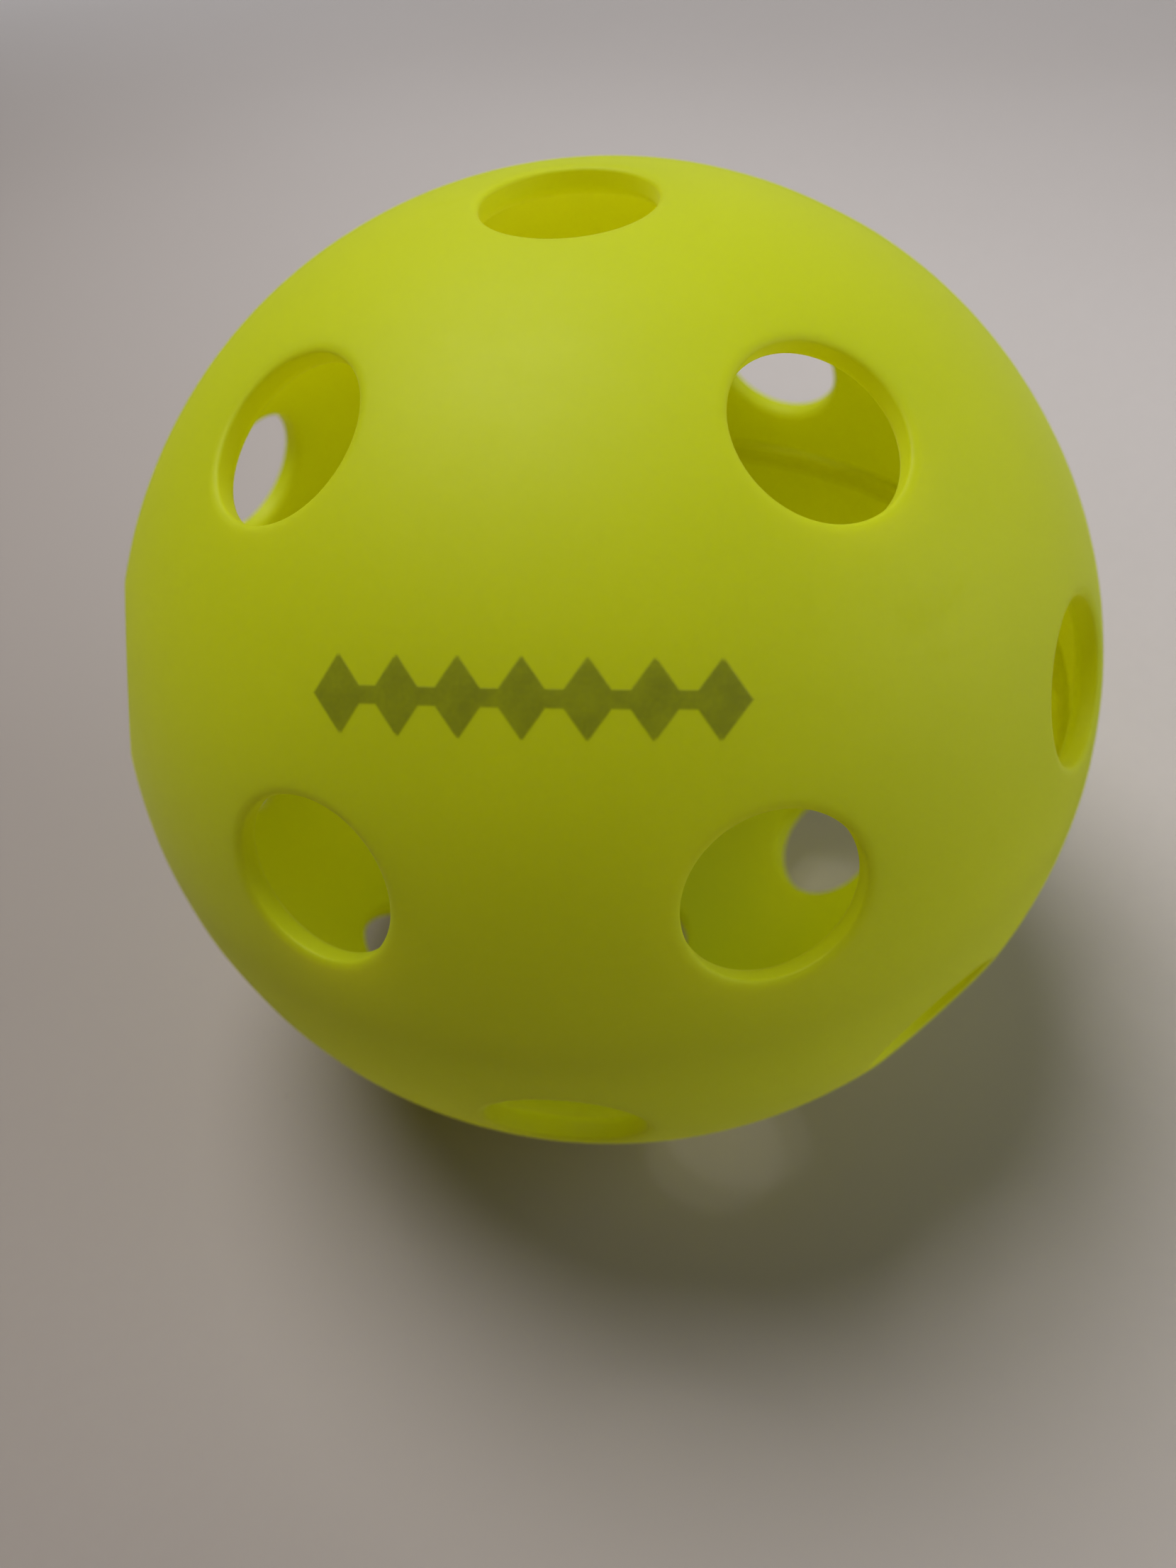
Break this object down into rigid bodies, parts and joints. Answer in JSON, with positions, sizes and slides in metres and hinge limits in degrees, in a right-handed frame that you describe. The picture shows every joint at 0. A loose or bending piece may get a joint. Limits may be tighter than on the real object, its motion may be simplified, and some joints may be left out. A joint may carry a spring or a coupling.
{
  "type": "pickleball ball",
  "caption": "Hollow perforated ball for indoor pickleball: two moulded half shells fused at the equator, round holes with rounded lips, a weld bead inside and a printed lozenge mark.",
  "frame": {"origin": "centre of the ball", "axes": "+Z along the polar axis, out of the upper pole hole; the seam is the plane Z = 0; -Y is the printed side; +X completes the right-handed frame"},
  "size_m": [0.074, 0.074, 0.0732],
  "materials": {
    "moulded_shell": "satin translucent polyethylene, optic yellow-green, faintly mottled",
    "fused_plastic": "smooth re-set melt of the same polyethylene, slightly glossier and darker",
    "ink": "thin matt pad-printed ink, dark olive, partly see-through"
  },
  "bodies": {
    "root": {"upper_half_shell": "moulded_shell", "lower_half_shell": "moulded_shell", "weld_bead": "fused_plastic", "printed_mark": "ink"}
  },
  "joints": []
}
